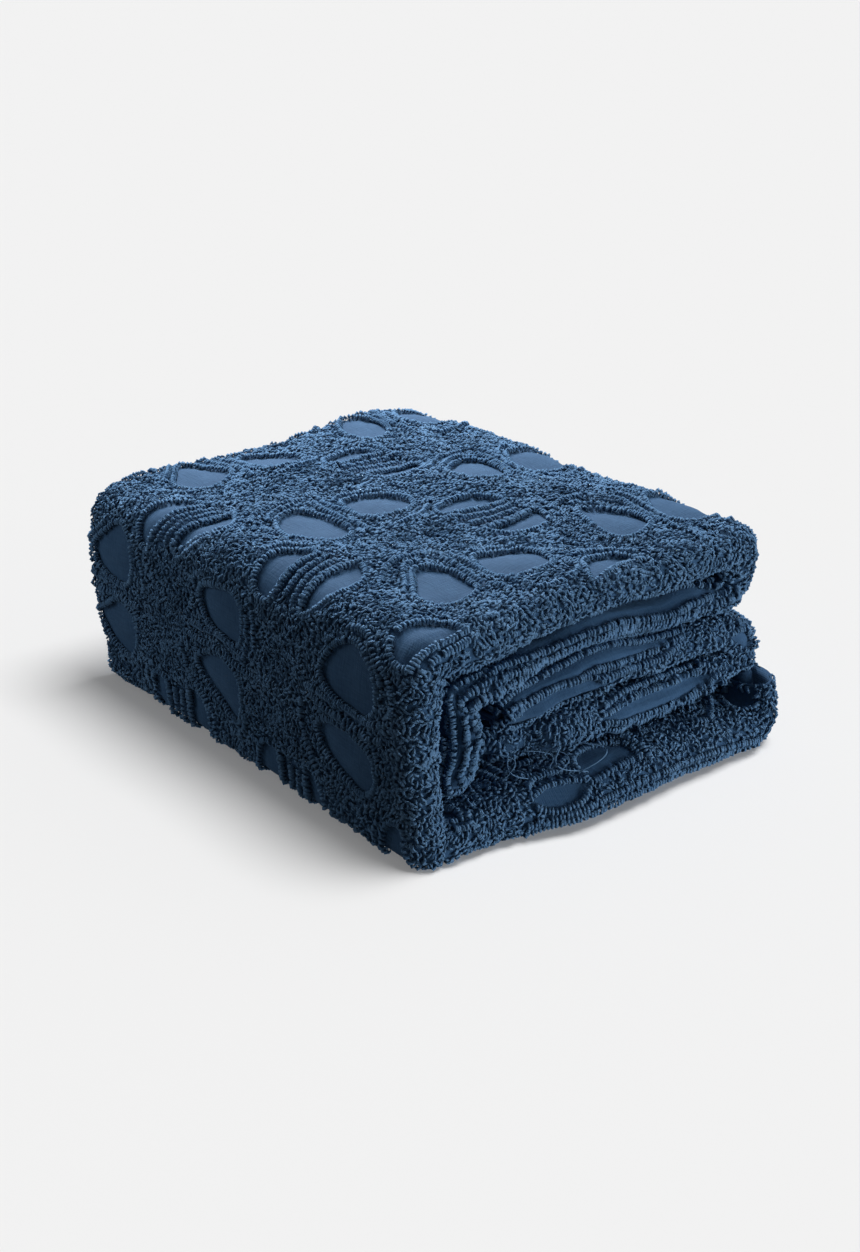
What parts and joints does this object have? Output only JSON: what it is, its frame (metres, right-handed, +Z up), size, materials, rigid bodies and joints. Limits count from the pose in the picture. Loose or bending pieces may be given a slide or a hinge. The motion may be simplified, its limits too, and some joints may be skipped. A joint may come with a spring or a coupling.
{
  "type": "bedspread",
  "caption": "Tufted cotton bedspread, folded and wound into a thick soft bundle with rounded folds at its front end.",
  "frame": {"origin": "middle of the bundle's footprint, on the surface that it rests on", "axes": "+X along the front end towards the side folds, +Y from the rounded front folds to the back folds, +Z up"},
  "size_m": [0.4003, 0.479, 0.2007],
  "materials": {
    "tufted_cotton": "matte"
  },
  "bodies": {
    "root": {"bedspread": "tufted_cotton"}
  },
  "joints": []
}
